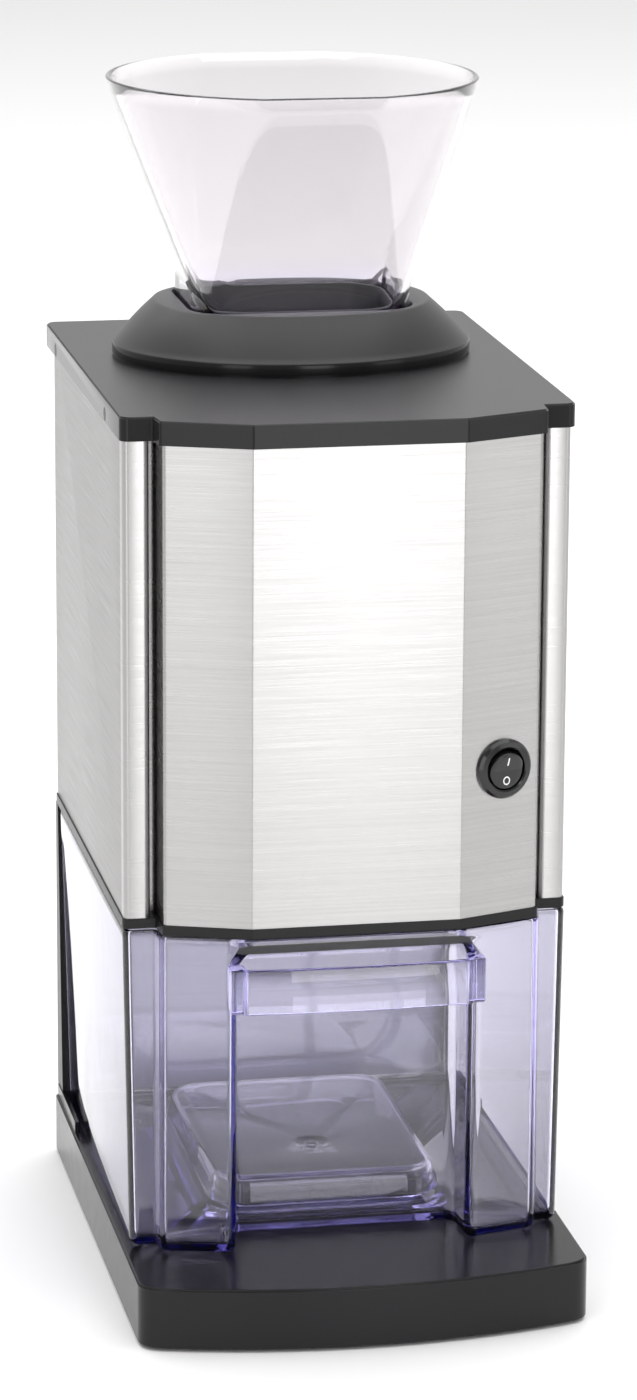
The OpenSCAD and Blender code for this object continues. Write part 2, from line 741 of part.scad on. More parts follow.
module gear_outline(teeth, mod, slack) {
    rp = teeth * mod / 2;
    root = rp - 1.2 * mod;
    tip = rp + 0.9 * mod;
    base = max(root, rp * cos(pressure_angle));
    steps = 4;
    radii = [for (i = [0:steps]) base + (tip - base) * i / steps];
    foot = tooth_half(base, rp, teeth, slack);
    polygon([for (k = [0:teeth - 1])
        let (mid = 360 * k / teeth)
        each concat(
            [root * [cos(mid - foot), sin(mid - foot)]],
            [for (r = radii) let (h = tooth_half(r, rp, teeth, slack))
                r * [cos(mid - h), sin(mid - h)]],
            [for (r = reversed(radii)) let (h = tooth_half(r, rp, teeth, slack))
                r * [cos(mid + h), sin(mid + h)]],
            [root * [cos(mid + foot), sin(mid + foot)]])]);
}

// Directions between gear centres, seen in the gears' own plane (z down is x, y is y)
function in_plane(turn) = atan2(cos(turn), -sin(turn));

module toothed_wheel(teeth, mod, x, width, yz, tooth_at, bore) {
    along_x(yz, x) difference() {
        linear_extrude(width) rotate(tooth_at) gear_outline(teeth, mod, tooth_slack);
        translate([0, 0, -over]) cylinder(r = bore, h = width + 1, $fn = 64);
    }
}

shaft_tooth = in_plane(shaft_pair_turn);
idler_small_tooth = in_plane(shaft_pair_turn) + 180 + 180 / idler_small_teeth;
idler_big_tooth = in_plane(motor_pair_turn);
pinion_tooth = in_plane(motor_pair_turn) + 180 + 180 / pinion_teeth;

module shaft_gear() {
    color("#e8e2d0") {
        toothed_wheel(shaft_teeth, shaft_module, 62.5, 8, [hopper_y, shaft_z], shaft_tooth,
                      shaft_r + press);
        along_x([hopper_y, shaft_z], 55) difference() {
            cylinder(r = 11, h = 8, $fn = 48);
            translate([0, 0, -over]) cylinder(r = shaft_r + press, h = 10, $fn = 64);
        }
    }
}

module idler_gear() {
    color("#e8e2d0") {
        toothed_wheel(idler_big_teeth, motor_module, 54, 6, idler_yz, idler_big_tooth,
                      pin_r + running);
        toothed_wheel(idler_small_teeth, shaft_module, 60, 13, idler_yz, idler_small_tooth,
                      pin_r + running);
    }
}

module motor_pinion() {
    color("#c9a227") toothed_wheel(pinion_teeth, motor_module, 53.4, 7.4, motor_yz, pinion_tooth,
                                   motor_shaft_r + press);
}

plate_screws = [for (y = [-23, 23], z = [-33, 33]) [hopper_y + y, shaft_z + z]];

module gear_plate() {
    color("#b5b8bb") difference() {
        translate([plate_x, -56, 190]) cube([plate_t, 138, 138]);
        along_x([hopper_y, shaft_z], plate_x - 1) cylinder(r = bush_r, h = 5, $fn = 64);
        along_x(idler_yz, plate_x - 1) cylinder(r = pin_r + press, h = 5, $fn = 64);
        along_x(motor_yz, plate_x - 1) cylinder(r = 9.1, h = 5, $fn = 64);
        for (p = concat(plate_screws, [for (s = [-1, 1]) motor_yz + [0, motor_screw * s]]))
            along_x(p, plate_x - 1) cylinder(r = plate_screw_r + 0.2, h = 5, $fn = 24);
    }
}

module gear_plate_screws() {
    color("silver") {
        for (p = plate_screws) along_x(p, plate_x + plate_t) {
            cylinder(r = 3, h = 1.8, $fn = 32);
            translate([0, 0, -plate_screw_in])
                cylinder(r = plate_screw_r, h = plate_screw_in + over, $fn = 24);
        }
        for (s = [-1, 1]) along_x(motor_yz + [0, motor_screw * s], plate_x + plate_t) {
            cylinder(r = 3, h = 1.8, $fn = 32);
            translate([0, 0, -5.5]) cylinder(r = plate_screw_r, h = 6, $fn = 24);
        }
    }
}

module idler_pin() {
    color("silver") along_x(idler_yz, plate_x) cylinder(r = pin_r, h = 28, $fn = 64);
}
module idler_clip() {
    color("#55585c") along_x(idler_yz, 73.4) difference() {
        cylinder(r = 7, h = 1, $fn = 48);
        translate([0, 0, -over]) cylinder(r = pin_r + press, h = 3, $fn = 64);
    }
}

// ---- motor ----
module motor_can() {
    color("#8c9095") along_x(motor_yz, can_x[0]) difference() {
        cylinder(r = can_r, h = can_x[1] - can_x[0], $fn = 96);
        translate([0, 0, -over]) cylinder(r = can_r - can_wall, h = 200, $fn = 96);
    }
}
module motor_end_cap(x, out) {
    along_x(motor_yz, x) difference() {
        union() {
            cylinder(r = can_r, h = cap_t, $fn = 96);
            translate([0, 0, out > 0 ? 0 : -2.5]) cylinder(r = 9, h = cap_t + 2.5, $fn = 48);
        }
        translate([0, 0, -5]) cylinder(r = motor_shaft_r + running, h = 20, $fn = 48);
        for (s = [-1, 1]) translate([motor_screw * s, 0, -1])
            cylinder(r = plate_screw_r + 0.2, h = 10, $fn = 24);
    }
}
module motor_end_caps() {
    color("#6f7378") {
        motor_end_cap(can_x[1], 1);
        motor_end_cap(can_x[0] - cap_t, -1);
    }
}
module motor_magnets() {
    color("#3b3b40") along_x(motor_yz, -28) difference() {
        cylinder(r = can_r - can_wall - running, h = 56, $fn = 96);
        translate([0, 0, -over]) cylinder(r = armature_r + 1, h = 60, $fn = 96);
        translate([-5, -50, -over]) cube([10, 100, 60]);
    }
}
module motor_armature() {
    color("#a0672f") along_x(motor_yz, -24) difference() {
        cylinder(r = armature_r, h = 48, $fn = 96);
        translate([0, 0, -over]) cylinder(r = motor_shaft_r + press, h = 60, $fn = 48);
        for (k = [0:11]) rotate(30 * k) translate([14, -1.2, -over]) cube([10, 2.4, 60]);
    }
}
module motor_shaft() {
    color("silver") along_x(motor_yz, -63) cylinder(r = motor_shaft_r, h = 125, $fn = 48);
}
module motor_fan() {
    color("#2f3f55") along_x(motor_yz, -62) difference() {
        union() {
            cylinder(r = 7, h = 8, $fn = 48);
            cylinder(r = 28, h = 1.2, $fn = 64);
            for (k = [0:8]) rotate(40 * k) translate([6, -0.6, 0]) cube([20, 1.2, 8]);
        }
        translate([0, 0, -over]) cylinder(r = motor_shaft_r + press, h = 10, $fn = 48);
    }
}
module motor_cradle() {
    color("#7d8186") difference() {
        for (x = [-34, 20]) translate([x, motor_yz.x - 24, steel_bottom + 0.05])
            cube([12, 48, 52]);
        along_x(motor_yz, -70) cylinder(r = can_r + press, h = 140, $fn = 96);
    }
}

// ---- interlock and wiring ----
module interlock_switch() {
    color("#2a2a2a") difference() {
        translate([interlock_at.x - 10, interlock_at.y - 4, steel_bottom + 0.05])
            cube([20, 8, 14]);
        translate([interlock_at.x, interlock_at.y, steel_bottom - over])
            cylinder(r = 2, h = 9, $fn = 32);
    }
}
module interlock_plunger() {
    color("#b33a2e") translate([interlock_at.x, interlock_at.y, drawer_top + 0.35])
        cylinder(r = 1.6, h = 10, $fn = 32);
}
module terminal_block() {
    color("#dcdcd4") difference() {
        translate([-77, 50, steel_bottom + 0.05]) cube([20, 40, 14]);
        for (k = [0:3]) translate([-67, 55 + 10 * k, steel_bottom + 8])
            cylinder(r = 2.4, h = 10, $fn = 24);
    }
}

base_plate();
rubber_feet();
feet_screws();
rear_column();
back_panel();
back_screws();
cord_gland();
left_side_panel();
right_side_panel();
front_panel();
middle_trim();
top_lid();
lid_screws();
hopper_collar();
hopper();
ice_drawer();
drawer_handle();
switch_bezel();
switch_body();
switch_terminals();
switch_rocker();
crusher_housing();
ice_chute();
shaft_bushes();
blade_shaft();
crusher_blades();
blade_spacers();
front_comb();
rear_comb();
shaft_gear();
gear_plate();
gear_plate_screws();
idler_pin();
idler_clip();
idler_gear();
motor_can();
motor_end_caps();
motor_magnets();
motor_armature();
motor_shaft();
motor_pinion();
motor_fan();
motor_cradle();
interlock_switch();
interlock_plunger();
terminal_block();
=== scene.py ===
"""Electric ice crusher: the looks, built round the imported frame.

Lengths are in millimetres until a mesh is made, in the frame's own axes:
the front faces -Y, and +X is the side with the switch.
"""
import json
import math

import bmesh
import bpy
import numpy as np
from mathutils import Matrix, Vector


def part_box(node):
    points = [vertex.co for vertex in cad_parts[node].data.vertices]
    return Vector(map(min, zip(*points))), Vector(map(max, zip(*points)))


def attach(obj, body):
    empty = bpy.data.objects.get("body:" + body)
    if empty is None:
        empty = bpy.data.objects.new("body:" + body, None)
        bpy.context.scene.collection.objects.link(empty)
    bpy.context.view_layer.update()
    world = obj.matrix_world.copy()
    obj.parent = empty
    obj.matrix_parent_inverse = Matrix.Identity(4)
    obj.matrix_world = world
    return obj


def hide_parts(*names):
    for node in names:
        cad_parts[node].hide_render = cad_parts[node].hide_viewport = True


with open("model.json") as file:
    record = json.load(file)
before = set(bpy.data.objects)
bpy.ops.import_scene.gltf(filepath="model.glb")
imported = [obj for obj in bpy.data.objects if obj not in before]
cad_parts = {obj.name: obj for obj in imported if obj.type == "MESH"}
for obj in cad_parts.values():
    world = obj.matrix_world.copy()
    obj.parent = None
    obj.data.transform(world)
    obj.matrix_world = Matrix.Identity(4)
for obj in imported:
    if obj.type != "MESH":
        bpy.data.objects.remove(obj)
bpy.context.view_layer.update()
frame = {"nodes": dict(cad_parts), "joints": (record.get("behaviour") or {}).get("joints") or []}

MM = 0.001


def levels(node):
    """Lowest and highest corner of a CAD node, in millimetres."""
    low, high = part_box(node)
    return low / MM, high / MM


drawer_low, drawer_high = levels("ice_drawer")
hopper_low, hopper_high = levels("hopper")
collar_low, collar_high = levels("hopper_collar")
handle_low, handle_high = levels("drawer_handle")
lid_high = levels("top_lid")[1]

# ---------------------------------------------------------------- outlines

LEAST_RADIUS = 0.15              # that a rounded corner may shrink to


def corner_arc(before, corner, after, radius, steps):
    """Points of the arc that rounds a corner between its two neighbours."""
    to_before = (before - corner) / np.linalg.norm(before - corner)
    to_after = (after - corner) / np.linalg.norm(after - corner)
    half = math.acos(np.clip(to_before @ to_after, -1, 1)) / 2
    bisector = (to_before + to_after) / np.linalg.norm(to_before + to_after)
    middle = corner + bisector * radius / math.sin(half)
    first = corner + to_before * radius / math.tan(half) - middle
    last = corner + to_after * radius / math.tan(half) - middle
    start = math.atan2(first[1], first[0])
    sweep = math.atan2(last[1], last[0]) - start
    sweep = (sweep + math.pi) % (2 * math.pi) - math.pi
    turns = [start + sweep * i / steps for i in range(steps + 1)]
    return [middle + radius * np.array([math.cos(t), math.sin(t)]) for t in turns]


def outline(corners, inset=0.0, steps=6):
    """Closed outline with rounded corners (x, y, radius), moved inwards by inset."""
    points = [np.array(c[:2], float) for c in corners]
    count = len(points)
    area = sum(np.cross(points[i - 1], points[i]) for i in range(count))
    side = 1 if area > 0 else -1
    normals = []
    for i in range(count):
        along = points[(i + 1) % count] - points[i]
        along = along / np.linalg.norm(along)
        normals.append(side * np.array([-along[1], along[0]]))
    moved, radii = [], []
    for i in range(count):
        before, after = normals[i - 1], normals[i]
        moved.append(points[i] + inset * (before + after) / (1 + before @ after))
        convex = np.cross(before, after) * side > 0
        radii.append(max(LEAST_RADIUS, corners[i][2] + (-inset if convex else inset)))
    ring = []
    for i in range(count):
        ring += corner_arc(moved[i - 1], moved[i], moved[(i + 1) % count], radii[i], steps)
    return ring


def both_sides(half):
    """A right half outline, back to front, joined to its mirror image."""
    return half + [(-x, y, r) for x, y, r in reversed(half)]


def block(half_x, half_y, radius, middle_y=0):
    """Corners of a rounded rectangle centred on X = 0."""
    return both_sides([(half_x, middle_y + half_y, radius), (half_x, middle_y - half_y, radius)])


def quarter_turns(steps):
    """Angles from 0 to a right angle."""
    return [math.pi / 2 * i / steps for i in range(steps + 1)]


def full_turns(steps):
    """Angles once round."""
    return [2 * math.pi * i / steps for i in range(steps)]


def fillet(radius):
    """(inset, rise) pairs of a quarter round that starts at full inset."""
    turns = quarter_turns(4)
    return [(radius * (1 - math.sin(t)), radius * (1 - math.cos(t))) for t in turns]


def share_of(value, start, stop):
    """How far value is on the way from start to stop, from 0 to 1."""
    return min(max((value - start) / (stop - start), 0), 1)


def mixed(pair, share):
    """The value at a share of the way from a pair's first to its second."""
    return pair[0] + (pair[1] - pair[0]) * share


# ---------------------------------------------------------------- meshes

SAME_POINT = 2e-6                # metres within which a CAD mesh's corners are joined
SAME_PLANE = math.radians(0.4)   # between faces that are joined
BEVELLED = math.radians(30)      # between faces whose edge is rounded


class Skin:
    """A mesh sewn together from rings of points."""

    def __init__(self):
        self.bm = bmesh.new()

    def ring(self, points):
        """New corners at points given in millimetres."""
        return [self.bm.verts.new((p[0] * MM, p[1] * MM, p[2] * MM)) for p in points]

    def band(self, lower, upper):
        """Faces between two rings of the same length."""
        count = len(lower)
        for i in range(count):
            j = (i + 1) % count
            self.bm.faces.new((lower[i], lower[j], upper[j], upper[i]))

    def tube(self, rings):
        """Rings joined one after another. Returns the first and the last."""
        made = [self.ring(r) for r in rings]
        for lower, upper in zip(made, made[1:]):
            self.band(lower, upper)
        return made[0], made[-1]

    def closed_tube(self, rings):
        """Rings joined one after another, and the last to the first."""
        first, last = self.tube(rings)
        self.band(last, first)

    def solid_tube(self, rings):
        """Rings joined one after another, with flat ends."""
        for end in self.tube(rings):
            self.cap(end)

    def cap(self, ring):
        """One flat face inside a ring."""
        self.bm.faces.new(ring)

    def cap_between(self, outer, inner):
        """Flat face between an outer and an inner ring of any lengths."""
        edges = []
        for ring in (outer, inner):
            for i, vert in enumerate(ring):
                other = ring[(i + 1) % len(ring)]
                edge = self.bm.edges.get((vert, other)) or self.bm.edges.new((vert, other))
                edges.append(edge)
        bmesh.ops.triangle_fill(self.bm, use_beauty=True, use_dissolve=False, edges=edges)


def piece(name, bm, body, material, replaces=(), sharp=32, place=None):
    """Turns a bmesh into a finished piece that rides on a CAD body.

    Faces that meet at more than sharp degrees keep a crisp edge between them.
    """
    bmesh.ops.recalc_face_normals(bm, faces=bm.faces)
    for edge in bm.edges:
        turned = len(edge.link_faces) == 2 and edge.calc_face_angle(0) > math.radians(sharp)
        edge.smooth = not turned
    for face in bm.faces:
        face.smooth = True
    mesh = bpy.data.meshes.new(name)
    bm.to_mesh(mesh)
    bm.free()
    made = bpy.data.objects.new(name, mesh)
    bpy.context.scene.collection.objects.link(made)
    if place is not None:
        mesh.transform(place)
    mesh.materials.append(material)
    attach(made, body)
    if replaces:
        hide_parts(*replaces)
    return made


def soften(node, name, material, width):
    """A CAD node's shape, on the machine's body, with its sharp edges rounded."""
    bm = bmesh.new()
    bm.from_mesh(frame["nodes"][node].data)
    bmesh.ops.remove_doubles(bm, verts=bm.verts, dist=SAME_POINT)
    bmesh.ops.dissolve_limit(bm, angle_limit=SAME_PLANE, verts=bm.verts, edges=bm.edges)
    made = piece(name, bm, "machine", material, (node,))
    bevel = made.modifiers.new("edges", "BEVEL")
    bevel.width = width * MM
    bevel.segments = 3
    bevel.limit_method = "ANGLE"
    bevel.angle_limit = BEVELLED
    bevel.harden_normals = True
    bevel.use_clamp_overlap = True


# ---------------------------------------------------------------- materials

BRUSHING = (22, 22, 3600)        # stretch of the scratches in X, Y and Z
POLISHED = 0.14                  # roughness of a moulded part's polished edge


class Finish:
    """A node material being put together."""

    def __init__(self, name, **values):
        self.material = bpy.data.materials.new(name)
        self.material.use_nodes = True
        self.nodes = self.material.node_tree.nodes
        self.links = self.material.node_tree.links
        self.shader = self.nodes["Principled BSDF"]
        self.output = self.nodes["Material Output"]
        for key, value in values.items():
            self.shader.inputs[key.replace("_", " ")].default_value = value
        self.coordinates = self.nodes.new("ShaderNodeTexCoord").outputs["Object"]

    def noise(self, stretch, detail=2.0, rough=0.5):
        """Noise whose grains are 1/stretch metres long in X, Y and Z."""
        mapping = self.nodes.new("ShaderNodeMapping")
        mapping.inputs["Scale"].default_value = stretch
        self.links.new(self.coordinates, mapping.inputs["Vector"])
        texture = self.nodes.new("ShaderNodeTexNoise")
        texture.inputs["Scale"].default_value = 1.0
        texture.inputs["Detail"].default_value = detail
        texture.inputs["Roughness"].default_value = rough
        self.links.new(mapping.outputs["Vector"], texture.inputs["Vector"])
        return texture.outputs["Fac"]

    def ranged(self, source, low, high, start=0.3, stop=0.7):
        """source, from start to stop, spread over low to high."""
        spread = self.nodes.new("ShaderNodeMapRange")
        for key, value in (("From Min", start), ("From Max", stop),
                           ("To Min", low), ("To Max", high)):
            spread.inputs[key].default_value = value
        self.links.new(source, spread.inputs["Value"])
        return spread.outputs["Result"]

    def place(self, axis):
        """The point's own coordinate along an axis."""
        parts = self.nodes.new("ShaderNodeSeparateXYZ")
        self.links.new(self.coordinates, parts.inputs["Vector"])
        return parts.outputs[axis]

    def tint(self, source, dark, light):
        """A colour between dark and light, by source."""
        mix = self.nodes.new("ShaderNodeMix")
        mix.data_type = "RGBA"
        mix.inputs["A"].default_value = (*dark, 1)
        mix.inputs["B"].default_value = (*light, 1)
        self.links.new(source, mix.inputs["Factor"])
        return mix.outputs["Result"]

    def drive(self, socket, source):
        """Sets one of the shader's values by a source."""
        self.links.new(source, self.shader.inputs[socket])

    def bump(self, source, depth_mm, strength):
        """Relief on the surface, as high as source."""
        bump = self.nodes.new("ShaderNodeBump")
        bump.inputs["Strength"].default_value = strength
        bump.inputs["Distance"].default_value = depth_mm * MM
        self.links.new(source, bump.inputs["Height"])
        self.drive("Normal", bump.outputs["Normal"])


def moulded(name, dark, light, rough, grain=0.02, coat=0.0, gloss=0.5, skirt=None):
    """Moulded plastic: fine texture, faint flow marks and uneven gloss.

    grain is the texture's depth in mm. A skirt is the height in mm below which the plastic
    is polished, and its gloss there.
    """
    f = Finish(name, Specular_IOR_Level=gloss, Coat_Weight=coat, Coat_Roughness=0.15)
    cloud = f.noise((18, 18, 18), 3)
    f.drive("Base Color", f.tint(f.ranged(cloud, 0, 1), dark, light))
    f.drive("Roughness", f.ranged(f.noise((160, 160, 160), 4), rough - 0.02, rough + 0.02))
    if skirt is not None:
        edge, polish = skirt
        height = f.place("Z")
        start, stop = (edge - 0.5) * MM, edge * MM
        f.drive("Roughness", f.ranged(height, POLISHED, rough, start, stop))
        f.drive("Specular IOR Level", f.ranged(height, polish, gloss, start, stop))
    f.bump(f.noise((2200, 2200, 2200), 1), grain, 0.5)
    return f.material


def brushed(name, light, dark, rough, fold=None):
    """Sheet steel brushed along X and Y.

    With a fold, the sheet is light in front of that Y, in mm, and dark behind it: the darker steel
    behind it is painted shade, not a different metal.
    """
    f = Finish(name, Metallic=1.0, Anisotropic=0.6, Anisotropic_Rotation=0.25)
    fine = f.noise(BRUSHING, 2, 0.6)
    broad = f.noise(tuple(g * 0.3 for g in BRUSHING), 3, 0.6)
    if fold is None:
        f.drive("Base Color", f.tint(f.ranged(broad, 0, 1), dark, light))
    else:
        # painted shade: behind the fold the steel is given the darker colour, standing in for the
        # shade on the side faces
        behind = f.ranged(f.place("Y"), 0, 1, fold * MM, (fold + 1) * MM)
        f.drive("Base Color", f.tint(behind, light, dark))
    f.drive("Roughness", f.ranged(fine, rough - 0.05, rough + 0.07))
    f.bump(fine, 0.003, 0.5)
    along = f.nodes.new("ShaderNodeTangent")
    along.direction_type = "RADIAL"
    along.axis = "Z"
    f.drive("Tangent", along.outputs["Tangent"])
    return f.material


def machined(name, color, rough, grain=(900, 900, 900), metallic=1.0):
    """Plain metal with fine marks; grain is their stretch in X, Y and Z."""
    f = Finish(name, Metallic=metallic)
    shade = f.noise((70, 70, 70), 4)
    dark = tuple(c * 0.82 for c in color)
    f.drive("Base Color", f.tint(f.ranged(shade, 0, 1), dark, color))
    f.drive("Roughness", f.ranged(f.noise(grain, 2), rough - 0.06, rough + 0.08))
    f.bump(f.noise(grain, 2), 0.006, 0.4)
    return f.material


def clear(name, lamp_tint, absorb, density, bend, wall=(1, 1, 1), foot=None):
    """Clear plastic that tints by its thickness and lets lamps through.

    lamp_tint is the share of a lamp's light that passes, absorb and density are the tint by
    thickness, and bend is the index of refraction. A foot is the colour of the plastic's
    lowest part and the two heights, in mm, between which it gives way to the wall's.
    """
    f = Finish(name, Transmission_Weight=1.0, IOR=bend, Coat_Weight=0.5, Coat_Roughness=0.02)
    f.shader.inputs["Base Color"].default_value = (*wall, 1)
    if foot is not None:
        color, start, stop = foot
        rise = f.ranged(f.place("Z"), 0, 1, start * MM, stop * MM)
        f.drive("Base Color", f.tint(rise, color, wall))
    f.drive("Roughness", f.ranged(f.noise((90, 90, 40), 3), 0, 0.03))
    f.bump(f.noise((26, 26, 26), 2), 0.18, 0.35)
    passing = f.nodes.new("ShaderNodeBsdfTransparent")
    passing.inputs["Color"].default_value = (*lamp_tint, 1)
    path = f.nodes.new("ShaderNodeLightPath")
    mix = f.nodes.new("ShaderNodeMixShader")
    f.links.new(path.outputs["Is Shadow Ray"], mix.inputs["Fac"])
    f.links.new(f.shader.outputs["BSDF"], mix.inputs[1])
    f.links.new(passing.outputs["BSDF"], mix.inputs[2])
    f.links.new(mix.outputs["Shader"], f.output.inputs["Surface"])
    volume = f.nodes.new("ShaderNodeVolumeAbsorption")
    volume.inputs["Color"].default_value = (*absorb, 1)
    volume.inputs["Density"].default_value = density
    f.links.new(volume.outputs["Volume"], f.output.inputs["Volume"])
    return f.material


COLLAR_SKIRT = 5.4               # height of the upright edge round the collar
PANEL_FOLD = -64.0               # where the side panels turn into the strips beside the front

black_lid = moulded("black_lid", (0.012, 0.012, 0.013), (0.015, 0.015, 0.016), 0.34, 0.004,
                    gloss=0.46, skirt=(lid_high.z - 0.4, 0.15))
black_base = moulded("black_base", (0.005, 0.005, 0.006), (0.007, 0.007, 0.008), 0.2, 0.001,
                     gloss=0.32)
black_trim = moulded("black_trim", (0.007, 0.007, 0.007), (0.009, 0.009, 0.009), 0.3,
                     gloss=0.25)
black_collar = moulded("black_collar", (0.012, 0.012, 0.013), (0.016, 0.016, 0.017), 0.4, 0.01,
                       gloss=0.6, skirt=(collar_low.z + COLLAR_SKIRT + 0.2, 0.2))
black_gloss = moulded("black_gloss", (0.005, 0.005, 0.005), (0.007, 0.007, 0.007), 0.16, 0.004,
                      coat=0.3, gloss=0.4)
rubber = moulded("rubber", (0.018, 0.018, 0.018), (0.03, 0.03, 0.03), 0.7, 0.06)
light_plastic = moulded("light_plastic", (0.66, 0.65, 0.62), (0.74, 0.73, 0.70), 0.4)
nylon = moulded("nylon", (0.70, 0.66, 0.55), (0.78, 0.74, 0.64), 0.42)
fan_blue = moulded("fan_blue", (0.03, 0.06, 0.11), (0.05, 0.08, 0.14), 0.4)
plunger_red = moulded("plunger_red", (0.42, 0.03, 0.02), (0.5, 0.05, 0.03), 0.3)
mark_white = moulded("mark_white", (0.82, 0.82, 0.82), (0.9, 0.9, 0.9), 0.4)
steel_front = brushed("steel_front", (0.42, 0.416, 0.412), (0.385, 0.381, 0.377), 0.3)
# the side sheets are painted darker behind PANEL_FOLD as painted shade on the sides; the strips
# beside the front keep the lighter steel
steel_side = brushed("steel_side", (0.43, 0.426, 0.422), (0.23, 0.227, 0.224), 0.32, PANEL_FOLD)
steel_back = brushed("steel_back", (0.50, 0.50, 0.495), (0.455, 0.455, 0.45), 0.36)
bright_steel = machined("bright_steel", (0.74, 0.75, 0.76), 0.24)
zinc_screw = machined("zinc_screw", (0.66, 0.67, 0.69), 0.28)
dark_screw = machined("dark_screw", (0.05, 0.05, 0.055), 0.4)
zinc_sheet = machined("zinc_sheet", (0.56, 0.57, 0.58), 0.42)
cast_alloy = machined("cast_alloy", (0.60, 0.61, 0.62), 0.5, (400, 400, 400))
brass = machined("brass", (0.80, 0.60, 0.28), 0.26)
bronze = machined("bronze", (0.56, 0.38, 0.2), 0.45)
winding = machined("winding", (0.48, 0.22, 0.1), 0.4, (60, 1500, 1500))
magnet = machined("magnet", (0.08, 0.08, 0.09), 0.6, metallic=0.3)
clear_hopper = clear("clear_hopper", (0.97, 0.965, 0.97), (0.74, 0.66, 0.80), 34, 1.47,
                     (0.915, 0.90, 0.905), ((0.90, 0.88, 0.985), 374, 384))
clear_drawer = clear("clear_drawer", (0.90, 0.89, 0.95), (0.50, 0.45, 0.84), 68, 1.44)

# materials of the CAD nodes that keep their own shape
NODE_FINISH = {
    "rubber_feet": rubber, "feet_screws": zinc_screw, "back_screws": zinc_screw,
    "gear_plate_screws": zinc_screw, "lid_screws": dark_screw, "switch_terminals": brass,
    "switch_body": black_gloss, "crusher_housing": cast_alloy, "ice_chute": light_plastic,
    "shaft_bushes": bronze, "blade_shaft": bright_steel, "crusher_blades": bright_steel,
    "blade_spacers": bright_steel, "front_comb": bright_steel, "rear_comb": bright_steel,
    "shaft_gear": nylon, "idler_gear": nylon, "gear_plate": zinc_sheet,
    "idler_pin": bright_steel, "idler_clip": dark_screw, "motor_can": zinc_sheet,
    "motor_end_caps": cast_alloy, "motor_magnets": magnet, "motor_armature": winding,
    "motor_shaft": bright_steel, "motor_pinion": brass, "motor_fan": fan_blue,
    "motor_cradle": zinc_sheet, "interlock_switch": black_trim,
    "interlock_plunger": plunger_red, "terminal_block": light_plastic,
}
for node_name, node_finish in NODE_FINISH.items():
    cad_node = frame["nodes"][node_name]
    if not cad_node.material_slots:
        cad_node.data.materials.append(node_finish)
    for material_slot in cad_node.material_slots:
        material_slot.material = node_finish

# ---------------------------------------------------------------- housing

soften("base_plate", "base_shell", black_base, 0.9)
soften("rear_column", "rear_uprights", black_trim, 0.5)
soften("middle_trim", "housing_floor", black_trim, 0.7)
soften("top_lid", "lid_shell", black_lid, 0.7)
soften("cord_gland", "cord_grommet", black_trim, 0.4)
soften("switch_bezel", "round_bezel", black_gloss, 0.25)
soften("front_panel", "front_sheet", steel_front, 0.12)
soften("left_side_panel", "left_sheet", steel_side, 0.12)
soften("right_side_panel", "right_sheet", steel_side, 0.12)
soften("back_panel", "back_sheet", steel_back, 0.12)

# ---------------------------------------------------------------- collar and hopper

HOPPER_Y = (hopper_low.y + hopper_high.y) / 2
FOOT = (43.4, 34.0, 15.0)        # half width, half depth and corner radius of the hopper's foot
HOPPER_WALL = 2.6
SPIGOT_GAP = 0.5                 # between the hopper's foot and the spigot inside it
SPIGOT_WALL = 1.6
SPIGOT_TOP = 373.6
SPIGOT_CORNER = 19.0
POLAR_TURNS = full_turns(192)    # where the rings of collar and hopper have their points


def block_reach(turn, half_x, half_y, radius):
    """Distance from the centre of a rounded block to its edge."""
    c, s = abs(math.cos(turn)), abs(math.sin(turn))
    flat_x, flat_y = half_x - radius, half_y - radius
    reach = min(half_x / max(c, 1e-9), half_y / max(s, 1e-9))
    if reach * c > flat_x and reach * s > flat_y:
        along = c * flat_x + s * flat_y
        reach = along + math.sqrt(along ** 2 - flat_x ** 2 - flat_y ** 2 + radius ** 2)
    return reach


def round_reach(turn, half_x, half_y, power):
    """Distance from the centre of an oval, squarer the higher its power, to its edge."""
    c, s = abs(math.cos(turn)), abs(math.sin(turn))
    return ((c / half_x) ** power + (s / half_y) ** power) ** (-1 / power)


def flat_oval_reach(turn, half_x, half_y, flat_x, flat_y):
    """Distance from the centre to the edge of an oval with straight stretches in its sides."""
    c, s = abs(math.cos(turn)), abs(math.sin(turn))
    reach = min(half_x / max(c, 1e-9), half_y / max(s, 1e-9))
    if reach * c > flat_x and reach * s > flat_y:
        round_x, round_y = half_x - flat_x, half_y - flat_y
        u, v = c / round_x, s / round_y
        p, q = flat_x / round_x, flat_y / round_y
        square = u * u + v * v
        along = u * p + v * q
        reach = (along + math.sqrt(along ** 2 - square * (p * p + q * q - 1))) / square
    return reach


def polar_ring(reach, z):
    """Ring round the hopper's middle; reach gives its distance at each turn."""
    return [(reach(t) * math.cos(t), HOPPER_Y + reach(t) * math.sin(t), z)
            for t in POLAR_TURNS]


def oval_ring(half_x, half_y, z, power=2.0):
    """Ring of an oval, squarer the higher its power."""
    return polar_ring(lambda t: round_reach(t, half_x, half_y, power), z)


def block_ring(shape, grow, z):
    """Ring of a rounded block (half width, half depth, corner radius), grown all round."""
    half_x, half_y, radius = shape
    return polar_ring(lambda t: block_reach(t, half_x + grow, half_y + grow, radius + grow), z)


